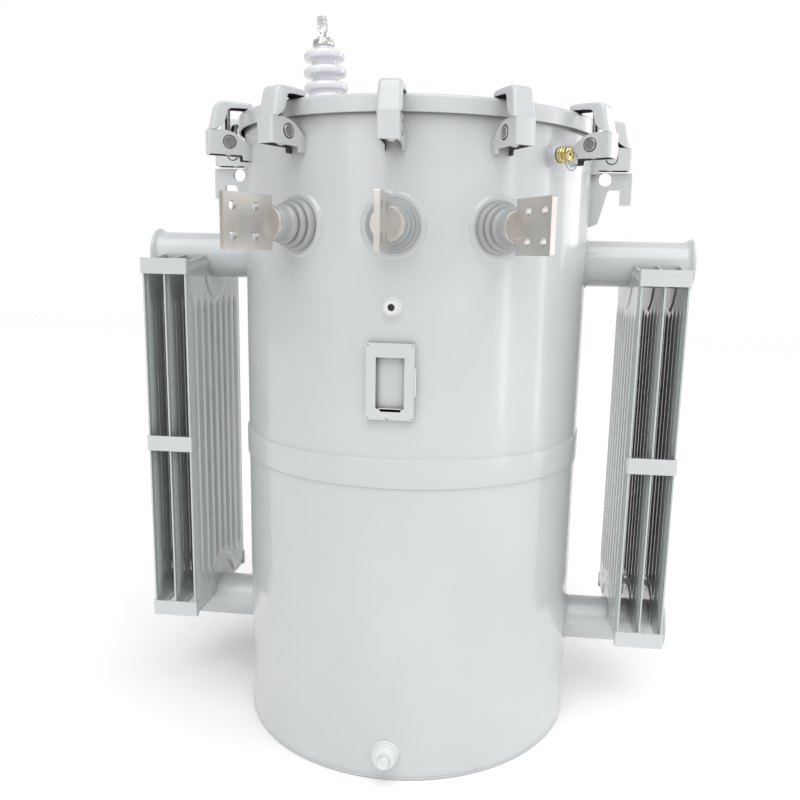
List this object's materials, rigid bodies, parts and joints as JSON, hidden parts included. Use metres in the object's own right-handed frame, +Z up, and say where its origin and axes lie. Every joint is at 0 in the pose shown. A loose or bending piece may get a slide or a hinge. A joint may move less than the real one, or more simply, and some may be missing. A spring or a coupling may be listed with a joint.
{
  "type": "single-phase overhead distribution transformer with plate-fin radiators",
  "caption": "Oil-filled pole-type transformer: round tank with clamped cover, front low-voltage spade bushings, porcelain high-voltage bushing and plate-fin radiators at both sides.",
  "frame": {"origin": "on the floor, at the centre of the round tank's bottom", "axes": "+Z up along the tank's axis, -Y the front with the low-voltage spades, +X to the right seen from the front"},
  "size_m": [1.046, 0.8795, 1.3679],
  "materials": {
    "tank_paint": "light grey gloss paint",
    "porcelain": "pale grey glossy porcelain",
    "bushing_grey": "mid-grey satin moulding",
    "tinned_metal": "tinned, fine machining",
    "plated_steel": "plated, bright",
    "dark_steel": "dark bare steel",
    "brass": "turned brass",
    "gasket_rubber": "matt black"
  },
  "bodies": {
    "root": {"clamp_hooks": "tank_paint", "clamp_housings": "tank_paint", "clamp_pins": "dark_steel", "clamp_studs": "plated_steel", "cover": "tank_paint", "cover_gasket": "gasket_rubber", "drain_coupling": "tank_paint", "drain_plug": "tank_paint", "hv_bushing": "porcelain", "hv_cap": "plated_steel", "hv_eyebolt": "plated_steel", "hv_flange": "tank_paint", "left_fin_1": "tank_paint", "left_fin_2": "tank_paint", "left_fin_3": "tank_paint", "left_header_caps": "tank_paint", "left_lower_header": "tank_paint", "left_straps": "tank_paint", "left_upper_header": "tank_paint", "level_port": "tank_paint", "lifting_lug_left": "tank_paint", "lifting_lug_right": "tank_paint", "lv_boss_centre": "tank_paint", "lv_boss_left": "tank_paint", "lv_boss_right": "tank_paint", "lv_bushing_centre": "bushing_grey", "lv_bushing_left": "bushing_grey", "lv_bushing_right": "bushing_grey", "lv_spade_centre": "tinned_metal", "lv_spade_left": "tinned_metal", "lv_spade_right": "tinned_metal", "nameplate_frame": "tank_paint", "relief_coupling": "tank_paint", "relief_pull_ring": "plated_steel", "relief_valve": "brass", "right_fin_1": "tank_paint", "right_fin_2": "tank_paint", "right_fin_3": "tank_paint", "right_header_caps": "tank_paint", "right_lower_header": "tank_paint", "right_straps": "tank_paint", "right_upper_header": "tank_paint", "tank_band": "tank_paint", "tank_bottom": "tank_paint", "tank_wall": "tank_paint"}
  },
  "joints": []
}
